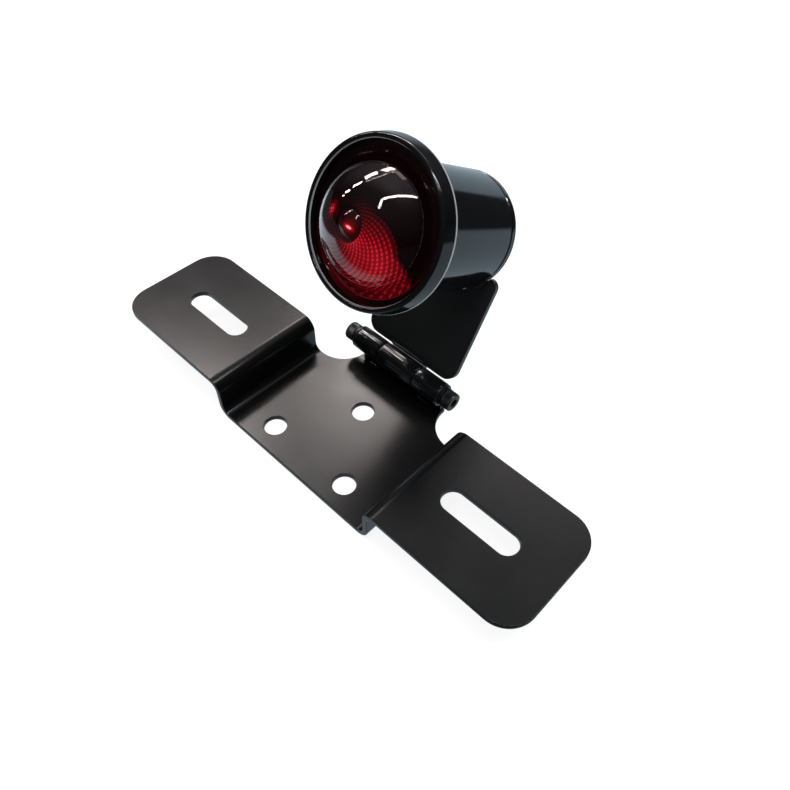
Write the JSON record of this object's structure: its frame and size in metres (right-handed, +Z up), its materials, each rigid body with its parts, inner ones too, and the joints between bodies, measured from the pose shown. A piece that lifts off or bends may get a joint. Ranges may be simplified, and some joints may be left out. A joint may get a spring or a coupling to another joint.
{
  "type": "motorcycle tail light",
  "caption": "Black bullet tail light with a domed smoked red lens, hinged on a stepped sheet-steel bracket with slotted wings.",
  "frame": {"origin": "on the underside of the bracket's centre panel, in the plane of symmetry, at the slots' centre line", "axes": "+X along the hinge and the bracket's length, +Y from the bracket's free edge towards the hinge, +Z up from the panel towards the lamp; the lens looks towards -Y and up"},
  "size_m": [0.1918, 0.0959, 0.1051],
  "materials": {
    "satin_black": "satin black powder coat",
    "gloss_black": "gloss black lacquer",
    "black_steel": "black oxide",
    "red_lens": "polished, smoked red, translucent",
    "rubber": "matt black",
    "bright_tin": "bright plated",
    "brass": "bare",
    "clear_glass": "clear",
    "fibre": "brown phenolic",
    "spring_steel": "bright wire"
  },
  "bodies": {
    "bracket": {"bracket_plate": "satin_black", "hinge_bar": "satin_black", "knuckle_left": "gloss_black", "knuckle_right": "gloss_black", "knuckle_weld_left": "satin_black", "knuckle_weld_right": "satin_black", "bar_tack_left": "satin_black", "bar_tack_right": "satin_black"},
    "lamp": {"leaf_plate": "satin_black", "leaf_weld": "satin_black", "housing_weld": "satin_black", "knuckle_centre": "gloss_black", "housing": "gloss_black", "bezel": "gloss_black", "hinge_screw_left": "black_steel", "hinge_screw_right": "black_steel", "flat_washer_left": "black_steel", "flat_washer_right": "black_steel", "spring_washer_left": "black_steel", "spring_washer_right": "black_steel", "bezel_screw": "black_steel", "lens": "red_lens", "lens_gasket": "rubber", "cable_grommet": "rubber", "reflector": "bright_tin", "socket_shell": "bright_tin", "socket_rivet_left": "brass", "socket_rivet_right": "brass", "bulb_base": "brass", "bulb_contact_left": "brass", "bulb_contact_right": "brass", "bulb_glass": "clear_glass", "contact_spring": "spring_steel"},
    "contact": {"contact_carrier": "fibre", "carrier_stud_left": "brass", "carrier_stud_right": "brass"}
  },
  "joints": [
    {"name": "lamp_tilt", "type": "hinge", "parent": "bracket", "child": "lamp", "pos_m": [0, 0.0328, 0.012], "axis": [1, 0, 0], "range_deg": [-60, 65]},
    {"name": "contact_slide", "type": "slide", "parent": "lamp", "child": "contact", "axis": [0, 0.866, -0.5], "range_m": [0, 0.0015], "stiffness_N_per_m": 4000, "springref_m": -0.001, "deforming": ["contact_spring"]}
  ]
}
